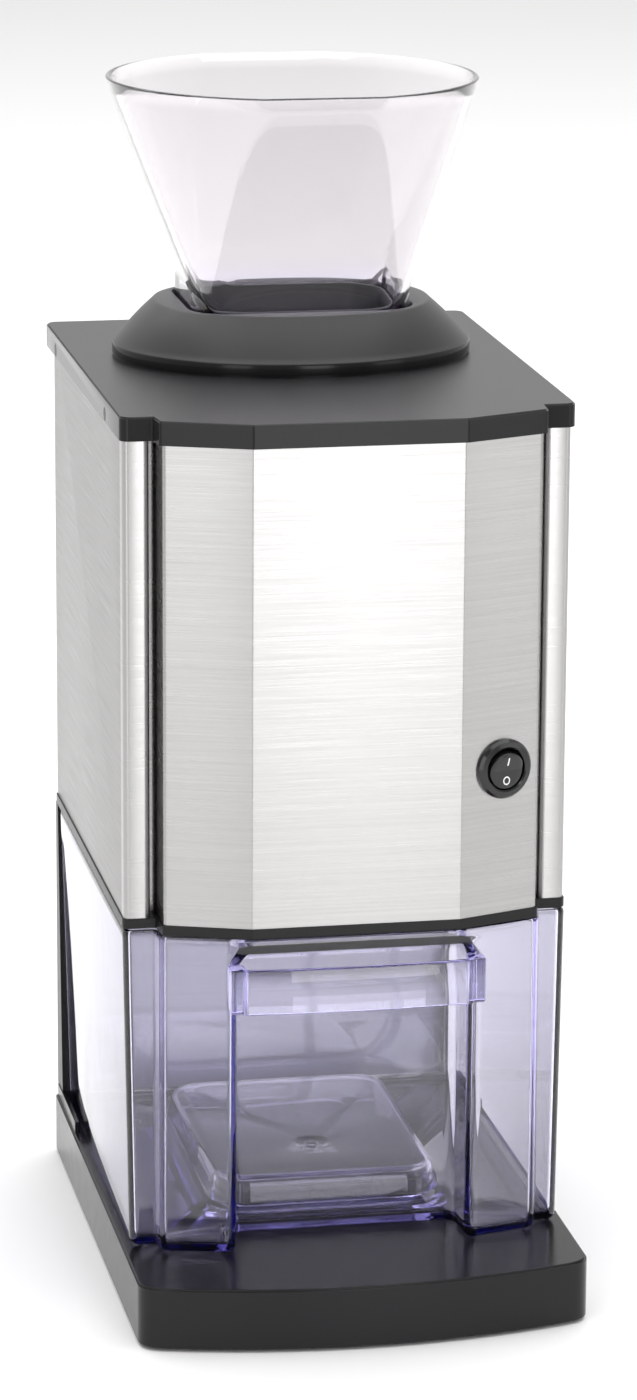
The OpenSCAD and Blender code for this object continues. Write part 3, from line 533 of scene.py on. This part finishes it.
def make_collar():
    """Sloping collar with an upright skirt, a recess for the foot and the spigot in it."""
    bottom, top = collar_low.z, collar_high.z
    foot_half, foot_deep = 71.2, 57.0
    rim_half, rim_deep = 55.0, 44.4
    groove = 0.7                                # shadow line above the lid
    ledge = bottom + 2.4
    squareness = 2.0, 2.25                      # powers of the oval at the skirt and the rim
    slope_inset, slope_start = 0.8, bottom + COLLAR_SKIRT + 0.35
    slope_steps, crown = 10, 0.7

    # up the outside: groove, skirt, crowned slope and rim
    skirt = [(groove, bottom), (groove, bottom + 0.9), (0.1, bottom + 1.1), (0, bottom + 1.4),
             (0, bottom + COLLAR_SKIRT - 0.8), (0.2, bottom + COLLAR_SKIRT - 0.2),
             (slope_inset, slope_start)]
    rings = [oval_ring(foot_half - inset, foot_deep - inset, z) for inset, z in skirt]
    for i in range(1, slope_steps + 1):
        share = i / slope_steps
        rings.append(oval_ring(mixed((foot_half - slope_inset, rim_half), share),
                               mixed((foot_deep - slope_inset, rim_deep), share),
                               mixed((slope_start, top - 0.7), share)
                               + crown * math.sin(math.pi * share),
                               mixed(squareness, share)))
    rings += [oval_ring(rim_half - inset, rim_deep - inset, z, squareness[1])
              for inset, z in ((0.5, top - 0.2), (1.2, top))]
    # down into the recess, over the spigot and down the throat
    rings += [block_ring(FOOT, grow, z)
              for grow, z in ((1.9, top), (1.3, top - 0.25), (1.0, top - 0.9),
                              (1.0, ledge + 0.4), (0.6, ledge))]
    spigot = (FOOT[0] - HOPPER_WALL - SPIGOT_GAP, FOOT[1] - HOPPER_WALL - SPIGOT_GAP,
              SPIGOT_CORNER)
    rings += [block_ring(spigot, grow, z)
              for grow, z in ((0.3, ledge), (0, ledge + 0.4), (0, SPIGOT_TOP - 0.5),
                              (-0.5, SPIGOT_TOP), (0.4 - SPIGOT_WALL, SPIGOT_TOP),
                              (-SPIGOT_WALL, SPIGOT_TOP - 0.5), (-SPIGOT_WALL, bottom))]
    skin = Skin()
    skin.closed_tube(rings)
    piece("collar_shell", skin.bm, "machine", black_collar,
          ("hopper_collar",), 40)


def soft_max(a, b, blend):
    """The larger of two, rounded off where they are nearly the same."""
    return 0.5 * (a + b + math.sqrt((a - b) ** 2 + blend ** 2))


def make_hopper():
    """Upright foot that opens into a funnel whose flat faces narrow towards the round rim."""
    bottom, rim = hopper_low.z, hopper_high.z
    rim_half = hopper_high.x
    rim_deep = (hopper_high.y - hopper_low.y) / 2
    side_start, front_start = 381.0, 372.6     # where the funnel leaves the foot's sides
    flat = (29.0, 19.5)                        # half the width of the flat faces at the foot
    bulge = (1.2, 3.7)                         # cut off the round by the front's, foot and rim
    crease, foot_blend = 0.12, 0.15            # softness of the front's edges and of the neck
    parting = (392.0, 404.0)                   # heights over which the foot's outline gives way
    withdrawal = 0.25                          # share that it draws in there
    margin = 4                                 # below the funnel, where the foot is left plain
    inner_corner = 19.5                        # thickens the foot's corners
    rim_wall = 1.9
    lip = rim_wall / 2

    def funnel(turn, z, inset):
        side = (z - side_start) / (rim - side_start)
        front = (z - front_start) / (rim - front_start)
        half_x = mixed((FOOT[0], rim_half), side) - inset
        half_y = mixed((FOOT[1], rim_deep), front) - inset
        share = share_of(z, side_start, rim)
        cone = flat_oval_reach(turn, half_x, half_y + mixed(bulge, share),
                               flat[0] * (1 - share), flat[1] * (1 - share))
        return -soft_max(-cone, -half_y / max(abs(math.sin(turn)), 1e-6), crease)

    def surface(z, inset, corner):
        def reach(turn):
            foot = block_reach(turn, FOOT[0] - inset, FOOT[1] - inset, corner)
            if z < front_start - margin:
                return foot
            fade = share_of(z, *parting)
            return soft_max(foot * (1 - withdrawal * fade), funnel(turn, z, inset),
                            foot_blend * (1 - fade))
        return reach

    def wall(z):
        return mixed((HOPPER_WALL, rim_wall), share_of(z, side_start, rim))

    # levels close together at the neck, where foot and funnel meet
    neck = range(368, 399)
    cone_levels = list(np.linspace(399, rim - 1, 14))
    outer_levels = [bottom + 0.9, bottom + 6, 364, *neck[:-1], *cone_levels]
    inner_levels = [*reversed(cone_levels), *reversed(neck), 362, bottom + 5, bottom + 0.7]
    # up the outside, over the lip and down the inside
    rings = [block_ring(FOOT, -0.9, bottom), block_ring(FOOT, -0.3, bottom + 0.25)]
    rings += [polar_ring(surface(z, 0, FOOT[2]), z) for z in outer_levels]
    rings += [polar_ring(surface(rim, lip - lip * math.cos(t), 0.1), rim - lip + lip * math.sin(t))
              for t in full_turns(16)[1:8]]
    rings += [polar_ring(surface(z, wall(z), inner_corner), z) for z in inner_levels]
    rings.append(block_ring((FOOT[0] - HOPPER_WALL, FOOT[1] - HOPPER_WALL, inner_corner),
                            0.5, bottom))
    skin = Skin()
    skin.closed_tube(rings)
    piece("hopper_funnel", skin.bm, "hopper", clear_hopper, ("hopper",), 60)


make_collar()
make_hopper()

# ---------------------------------------------------------------- drawer

DRAWER_WALL = 2.6
# pairs give a value at the drawer's bottom and at its top
DRAWER_HALF = (84.4, 86.4)
DRAWER_BACK = (99.0, 108.0)
DRAWER_POST = (-73.6, -72.0)     # fronts of the posts at its corners
POST_IN = 75                     # where a post meets the slanting facet beside it
DRAWER_FRONT = (-89.8, -91.5)
FACET_OUT = (73.6, -81.2)        # outer end of the slanting front facet
FACET_IN = 40.0                  # where the facet would meet the front
# pairs give a value in the open recess and where it has closed
RECESS_CLOSES = (136.5, 147.0)
RECESS_MOUTH = (45.2, 41.5)
RECESS_BACK = (43.2, 39.9)
RECESS_BACK_Y = -66.8
PLATEAU = block(46.5, 62.5, 15, 22)
PLATEAU_TOP = 38.8
PLATEAU_ROUND = 4.6              # radius of its top edge
PLATEAU_LEAN = 1.2               # of its sides, from the floor up to the round


def drawer_corners(z):
    """Corners of the drawer's outline at a height."""
    share = share_of(z, drawer_low.z, drawer_high.z)
    half, back, post, front = (mixed(pair, share) for pair in
                               (DRAWER_HALF, DRAWER_BACK, DRAWER_POST, DRAWER_FRONT))
    out_x, out_y = FACET_OUT
    closed = share_of(z, *RECESS_CLOSES)
    eased = 1 - math.sqrt(1 - closed ** 2)
    mouth_x = mixed(RECESS_MOUTH, closed ** 2)
    mouth_y = front + (mouth_x - FACET_IN) * (out_y - front) / (out_x - FACET_IN)
    back_x = mixed(RECESS_BACK, closed ** 2)
    back_y = mixed((RECESS_BACK_Y, front + 0.05), eased)
    mouth_radius = mixed((4.2, 0.5), closed ** 2)
    back_radius = mixed((3.4, 1.0), closed)
    return both_sides([(half, back, 8), (half, post, 4), (POST_IN, post, 1),
                       (out_x, out_y, 4), (mouth_x, mouth_y, mouth_radius),
                       (back_x, back_y, back_radius)])


def drawer_ring(z, inset, at=None):
    """Ring at height z of the outline at height at, moved in by inset."""
    return [(p[0], p[1], z) for p in outline(drawer_corners(z if at is None else at), inset)]


def plateau_ring(z, inset):
    """Ring of the outline of the floor's raised middle, moved in by inset."""
    return [(p[0], p[1], z) for p in outline(PLATEAU, inset, 8)]


def plateau_round(radius, steps):
    """Rings of the plateau's rounded top edge, or of one offset inside it."""
    return [plateau_ring(PLATEAU_TOP - PLATEAU_ROUND + radius * math.sin(t),
                         PLATEAU_LEAN + PLATEAU_ROUND - radius * math.cos(t))
            for t in quarter_turns(steps)]


def make_drawer():
    """Open tub with a finger recess in its front and a raised middle to its floor."""
    low, top = drawer_low.z, drawer_high.z
    floor = low + DRAWER_WALL
    edge = 3.2                                 # radius between floor and sides
    sides = [40, 70, 100, 125]                 # levels below the recess's closing
    closing = list(np.linspace(*RECESS_CLOSES, 12))
    skin = Skin()
    # outside, from the bottom edge up to the rim
    outside = [drawer_ring(low + rise, inset) for inset, rise in fillet(edge)]
    outside += [drawer_ring(z, 0) for z in sides + closing + [149, top - 1.2]]
    outside += [drawer_ring(top - 0.35, 0.3), drawer_ring(top, 1.1)]
    # over the rim and down the inside
    inside = [drawer_ring(top, DRAWER_WALL - 0.7), drawer_ring(top - 0.3, DRAWER_WALL - 0.15),
              drawer_ring(top - 1.0, DRAWER_WALL)]
    inside += [drawer_ring(z + DRAWER_WALL, DRAWER_WALL, z) for z in reversed(closing)]
    inside += [drawer_ring(z, DRAWER_WALL) for z in reversed(sides)]
    inside += [drawer_ring(floor + rise, DRAWER_WALL + inset)
               for inset, rise in reversed(fillet(edge))]
    bottom_ring, floor_ring = skin.tube(outside + inside)
    # raised middle of the floor
    slope = [plateau_ring(floor, -0.8), plateau_ring(floor + 0.8, 0)]
    base_ring, top_ring = skin.tube(slope + plateau_round(PLATEAU_ROUND, 7))
    skin.cap_between(floor_ring, base_ring)
    # shallow round mark in its top, left by the mould
    mark_y = -1
    mark = [[(r * math.cos(t), r * math.sin(t) + mark_y, PLATEAU_TOP - drop)
             for t in full_turns(40)]
            for r, drop in ((8.0, 0.0), (7.0, 0.15), (5.5, 0.6), (3.5, 0.95), (2.4, 0.9),
                            (1.8, 0.3), (0.9, 0.1))]
    mark_ring, mark_middle = skin.tube(mark)
    skin.cap_between(top_ring, mark_ring)
    skin.cap(mark_middle)
    # the hollow under it
    under = [plateau_ring(low, DRAWER_WALL - 0.4), plateau_ring(low + 1, DRAWER_WALL)]
    hollow_ring, hollow_top = skin.tube(under + plateau_round(PLATEAU_ROUND - DRAWER_WALL, 5))
    skin.cap_between(bottom_ring, hollow_ring)
    skin.cap(hollow_top)
    piece("drawer_tub", skin.bm, "drawer", clear_drawer, ("ice_drawer",), 50)


def make_handle():
    """Clear bar across the recess, its ends stepped back and joined to the drawer."""
    low, top = handle_low.z, handle_high.z
    front, bar_half = -99.0, 44.3
    end_in, end_out, end_gap = 43.0, 49.5, 0.3
    bow, thick, step_back = 2.0, 3.0, 1.2
    inner_share = 0.966                        # of the bar's width, on its inner face
    joined = handle_high.y
    steps = 10
    bar = [bar_half * (1 - 2 * i / steps) for i in range(steps + 1)]
    outer = [(x, front - bow * (1 - (x / bar_half) ** 2), 8) for x in bar]
    inner = [(x * inner_share, y + thick, r) for x, y, r in reversed(outer)]
    for face, radius in ((outer, 0.9), (inner, 1.2)):
        for end in (0, -1):
            face[end] = (*face[end][:2], radius)
    right = [(end_in, joined, 0.3), (end_out, joined, 0.3),
             (end_out, front + step_back, 1.6), (bar_half + end_gap, front + step_back, 0.5)]
    left = [(-x, y, r) for x, y, r in reversed(right)]
    corners = right + outer + left + inner
    edge = [(0.7, 0.0), (0.2, 0.25), (0, 0.8)]  # inset and rise of its rounded edges
    profile = [(inset, low + rise) for inset, rise in edge]
    profile += [(inset, top - rise) for inset, rise in reversed(edge)]
    skin = Skin()
    skin.solid_tube([[(p[0], p[1], z) for p in outline(corners, inset, 3)]
                     for inset, z in profile])
    piece("handle_bar", skin.bm, "drawer", clear_drawer, ("drawer_handle",), 40)


make_drawer()
make_handle()

# ---------------------------------------------------------------- switch

tilt = next(j for j in frame["joints"] if j["name"] == "rocker_tilt")
SWITCH_AT = Vector(tilt["pos_m"])
SWITCH_X = -Vector(tilt["axis"]).normalized()
SWITCH_OUT = SWITCH_X.cross(Vector((0, 0, 1)))
switch_place = Matrix((SWITCH_X, Vector((0, 0, 1)), SWITCH_OUT)).transposed().to_4x4()
switch_place.translation = SWITCH_AT
ROCKER_REST = math.radians(10)
ROCKER_CREST = 2.4               # the ridge over its pivot, above the bezel's seat
rocker_place = switch_place @ Matrix.Rotation(ROCKER_REST, 4, "X")


def make_rocker():
    """Round rocker with two faces that meet over its pivot."""
    reach, skirt = 7.3, -3.2
    turns = full_turns(96)

    def ring(radius, lift):
        return [(radius * math.cos(t), radius * math.sin(t),
                 ROCKER_CREST + abs(radius * math.sin(t)) * math.tan(ROCKER_REST) + lift)
                for t in turns]

    wall = [[(reach * math.cos(t), reach * math.sin(t), skirt) for t in turns]]
    # round its rim, then across the faces
    wall += [ring(reach - inset, lift) for inset, lift in
             ((0, -0.7), (0.18, -0.2), (0.6, 0), (2.1, 0), (3.6, 0), (5.1, 0), (6.4, 0))]
    skin = Skin()
    skin.solid_tube(wall)
    piece("rocker_cap", skin.bm, "rocker", black_gloss, ("switch_rocker",), 60,
          rocker_place)


def make_marks():
    """Generic on and off marks, printed on the rocker's two faces."""
    reach = 3.9                                # from the pivot
    low, high = -0.1, 0.05                     # sunk a little into the face, for a closed fit
    inner, outer, stretch = 1.05, 1.5, 1.12    # of the off mark's ring
    for name, side in (("mark_on", 1), ("mark_off", -1)):
        skin = Skin()
        if side > 0:
            bar = outline(block(0.28, 1.75, 0.2), 0, 3)
            skin.solid_tube([[(p[0], p[1], z) for p in bar] for z in (low, high)])
        else:
            skin.closed_tube([[(r * math.cos(t), r * stretch * math.sin(t), z)
                               for t in full_turns(48)]
                              for r, z in ((inner, low), (inner, high), (outer, high),
                                           (outer, low))])
        height = ROCKER_CREST + reach * math.tan(ROCKER_REST)
        lift = Matrix.Translation(Vector((0, side * reach, height)) * MM)
        place = rocker_place @ lift @ Matrix.Rotation(side * ROCKER_REST, 4, "X")
        piece(name, skin.bm, "rocker", mark_white, (), 40, place)


make_rocker()
make_marks()

# ---------------------------------------------------------------- stage


def area_light(name, at, aim, size, power):
    """White rectangular light; places and sizes in metres, power in watts."""
    lamp = bpy.data.lights.new(name, "AREA")
    lamp.shape = "RECTANGLE"
    lamp.size, lamp.size_y = size
    lamp.energy = power
    holder = bpy.data.objects.new(name, lamp)
    bpy.context.scene.collection.objects.link(holder)
    holder.location = at
    holder.rotation_euler = (Vector(aim) - Vector(at)).to_track_quat("-Z", "Y").to_euler()


def make_stage():
    """Plain pale floor and soft lights."""
    floor_half = 12.0                          # metres
    bm = bmesh.new()
    bmesh.ops.create_grid(bm, x_segments=2, y_segments=2, size=floor_half)
    mesh = bpy.data.meshes.new("floor")
    bm.to_mesh(mesh)
    bm.free()
    floor = bpy.data.objects.new("floor", mesh)
    bpy.context.scene.collection.objects.link(floor)
    pale = Finish("pale_floor", Roughness=0.6)
    pale.drive("Base Color", pale.tint(pale.noise((3, 3, 3)), (0.90, 0.90, 0.90),
                                       (0.92, 0.92, 0.92)))
    mesh.materials.append(pale.material)
    area_light("overhead", (0.0, 0.6, 2.6), (0, 0.4, 0), (4.0, 4.5), 92)
    area_light("left_box", (-0.68, -1.05, 0.5), (0, -0.09, 0.4), (0.36, 0.9), 2.1)
    area_light("right_box", (1.02, -0.82, 0.5), (0, -0.09, 0.4), (0.4, 0.9), 1.4)
    area_light("front_box", (0.18, -1.0, 0.42), (0.01, -0.09, 0.42), (0.30, 0.80), 2.3)


def make_world():
    """Soft surroundings: white behind the object, darker before it."""
    world = bpy.data.worlds.new("studio")
    bpy.context.scene.world = world
    world.use_nodes = True
    nodes, links = world.node_tree.nodes, world.node_tree.links
    toward = nodes.new("ShaderNodeTexCoord").outputs["Generated"]
    axes = nodes.new("ShaderNodeSeparateXYZ")
    links.new(toward, axes.inputs["Vector"])
    spread = nodes.new("ShaderNodeMapRange")
    for key, value in (("From Min", -0.9), ("From Max", 0.5), ("To Min", 0.0), ("To Max", 1.0)):
        spread.inputs[key].default_value = value
    spread.interpolation_type = "SMOOTHSTEP"
    links.new(axes.outputs["Y"], spread.inputs["Value"])
    mix = nodes.new("ShaderNodeMix")
    mix.data_type = "RGBA"
    mix.inputs["A"].default_value = (0.42, 0.42, 0.425, 1)
    mix.inputs["B"].default_value = (0.92, 0.915, 0.91, 1)
    links.new(spread.outputs["Result"], mix.inputs["Factor"])
    links.new(mix.outputs["Result"], nodes["Background"].inputs["Color"])
    nodes["Background"].inputs["Strength"].default_value = 1.0


def make_camera():
    """Camera at the reference view: a long lens a little to the left and above."""
    yaw, pitch, roll = (math.radians(a) for a in (10.87, 14.44, 0.31))
    ahead = Vector((math.sin(yaw) * math.cos(pitch), math.cos(yaw) * math.cos(pitch),
                    -math.sin(pitch)))
    right = Vector((math.cos(yaw), -math.sin(yaw), 0))
    up = right.cross(ahead)
    right, up = (math.cos(roll) * right + math.sin(roll) * up,
                 math.cos(roll) * up - math.sin(roll) * right)
    data = bpy.data.cameras.new("camera")
    data.lens = 130.9
    data.sensor_width = 36.0
    data.clip_start = 0.05
    camera = bpy.data.objects.new("camera", data)
    bpy.context.scene.collection.objects.link(camera)
    place = Matrix((right, up, -ahead)).transposed().to_4x4()
    place.translation = Vector((-363.3, -1904.4, 720.7)) * MM
    camera.matrix_world = place
    bpy.context.scene.camera = camera


make_stage()
make_world()
make_camera()
bpy.context.scene.view_settings.view_transform = "Standard"
# enough bounces for light to get out of the clear plastic's thick edges
bpy.context.scene.cycles.max_bounces = 24
bpy.context.scene.cycles.glossy_bounces = 18
bpy.context.scene.cycles.transmission_bounces = 24
bpy.context.scene.cycles.transparent_max_bounces = 16
